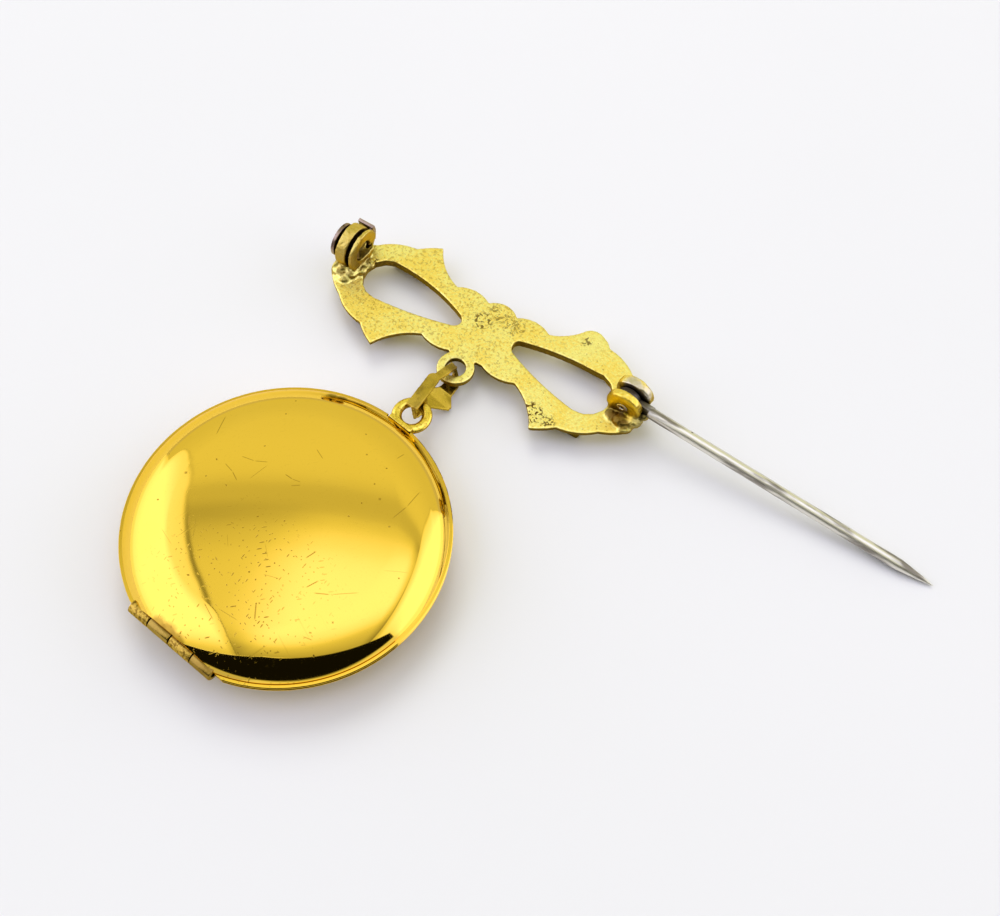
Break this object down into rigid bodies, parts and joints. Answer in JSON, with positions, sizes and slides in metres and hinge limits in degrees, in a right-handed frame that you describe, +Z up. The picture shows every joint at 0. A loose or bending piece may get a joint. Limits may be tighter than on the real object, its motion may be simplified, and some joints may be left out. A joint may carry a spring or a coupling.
{
  "type": "locket brooch",
  "caption": "Gilt locket brooch lying face down, with a pierced winged bar, a safety catch, an opened hinged pin and a round hinged locket hanging from a link.",
  "frame": {"origin": "under the middle of the whole brooch's box, on the surface it lies on", "axes": "+X along the bar towards the pin's point, +Y from the locket to the bar, +Z up out of the back"},
  "size_m": [0.06, 0.0446, 0.0066],
  "materials": {
    "satin_gilt": "satin",
    "bright_gilt": "polished",
    "olive_brass": "worn satin",
    "brown_brass": "tarnished",
    "nickel_wire": "drawn wire"
  },
  "bodies": {
    "root": {"bar": "satin_gilt", "joint_rivet": "olive_brass", "connector_link": "olive_brass", "locket_front": "bright_gilt", "locket_hinge_pin": "brown_brass"},
    "lid": {"locket_back": "bright_gilt"},
    "pin": {"pin_stem": "nickel_wire"},
    "lock": {"catch_lock": "brown_brass"}
  },
  "joints": [
    {"name": "lid_hinge", "type": "hinge", "parent": "root", "child": "lid", "pos_m": [-0.0187, -0.02105, 0.0033], "axis": [0.989, -0.1478, 0], "range_deg": [0, 165]},
    {"name": "pin_joint", "type": "hinge", "parent": "root", "child": "pin", "pos_m": [0.00072, 0.01675, 0.0032], "axis": [-0.0175, -0.9998, 0], "range_deg": [0, 175]},
    {"name": "lock_turn", "type": "hinge", "parent": "root", "child": "lock", "pos_m": [-0.02738, 0.01724, 0.00385], "axis": [0.9998, -0.0175, 0], "range_deg": [0, 100]}
  ]
}
